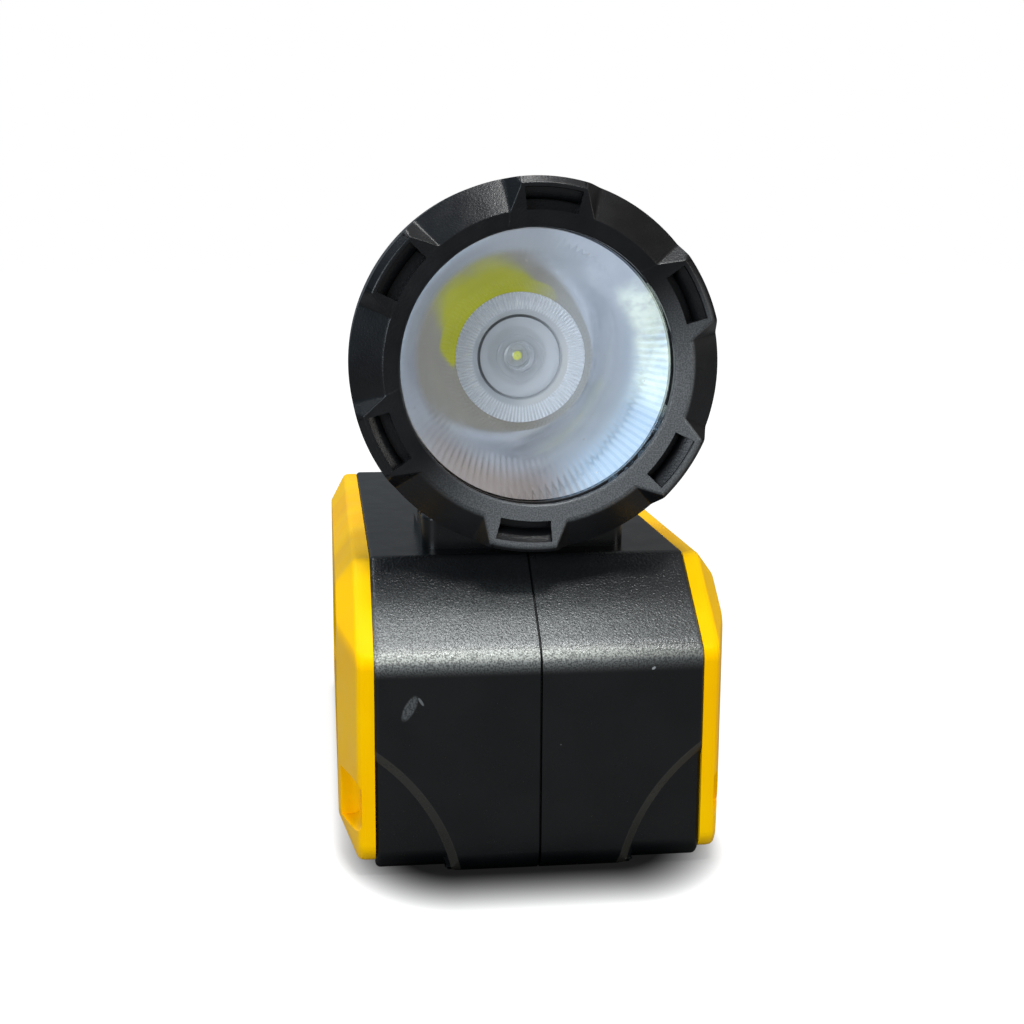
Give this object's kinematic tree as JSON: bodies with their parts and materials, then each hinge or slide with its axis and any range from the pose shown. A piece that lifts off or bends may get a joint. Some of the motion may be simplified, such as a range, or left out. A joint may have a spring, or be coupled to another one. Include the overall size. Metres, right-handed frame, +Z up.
{
  "type": "cap lamp",
  "caption": "Miner's cap lamp: round tilting head with a lugged bezel on a boxy black battery housing with yellow side bumpers.",
  "frame": {"origin": "centre of the battery housing's flat base", "axes": "-Y is the way the lamp shines, +X is to its right as seen from the front, +Z is up"},
  "size_m": [0.079, 0.148, 0.1362],
  "materials": {
    "black_plastic": "fine-textured black moulding",
    "yellow_plastic": "smooth yellow moulding",
    "black_rubber": "matt black rubber",
    "grey_plastic": "plain grey moulding",
    "clear_glass": "clear, polished",
    "silvered_cup": "bright metallised",
    "yellow_phosphor": "yellow phosphor under a clear dome",
    "white_board": "white lacquered board",
    "green_board": "green lacquered board",
    "aluminium": "turned",
    "cell_can": "sleeved can",
    "steel": "plated"
  },
  "bodies": {
    "housing": {"housing_left": "black_plastic", "housing_right": "black_plastic", "housing_seal": "black_rubber", "housing_screws": "steel", "bumper_left": "yellow_plastic", "bumper_right": "yellow_plastic", "side_pad_left": "black_rubber", "side_pad_right": "black_rubber", "bumper_screws": "steel", "battery_tray": "grey_plastic", "battery_cell_1": "cell_can", "battery_cell_2": "cell_can", "battery_cell_3": "cell_can", "battery_cell_4": "cell_can", "cell_strips": "steel", "control_board": "green_board", "neck_bracket": "black_plastic", "pivot_pin": "steel", "neck_screws": "steel", "charge_socket": "grey_plastic", "cover_pin": "steel", "cover_bracket": "black_plastic", "cap_hook": "steel", "hook_screws": "steel"},
    "lamp_head": {"head_shell": "black_plastic", "front_lens": "clear_glass", "lens_seal": "black_rubber", "reflector": "silvered_cup", "centre_optic": "clear_glass", "led_emitter": "yellow_phosphor", "led_board": "white_board", "heat_sink": "aluminium", "switch_module": "grey_plastic"},
    "bezel": {"bezel_ring": "black_plastic"},
    "button": {"power_button": "black_rubber"},
    "socket_cover": {"port_cover": "black_rubber"}
  },
  "joints": [
    {"name": "head_tilt", "type": "hinge", "parent": "housing", "child": "lamp_head", "pos_m": [0, -0.0308, 0.0683], "axis": [1, 0, 0], "range_deg": [-35, 6]},
    {"name": "bezel_turn", "type": "hinge", "parent": "lamp_head", "child": "bezel", "pos_m": [0, -0.0628, 0.09993], "axis": [0, -1, 0], "range_deg": [0, 50]},
    {"name": "power_button", "type": "slide", "parent": "lamp_head", "child": "button", "axis": [0, -1, 0], "range_m": [0, 0.0015], "stiffness_N_per_m": 800, "springref_m": -0.0005},
    {"name": "cover_swing", "type": "hinge", "parent": "housing", "child": "socket_cover", "pos_m": [0.0225, 0.0723, 0.0345], "axis": [1, 0, 0], "range_deg": [0, 100]}
  ]
}
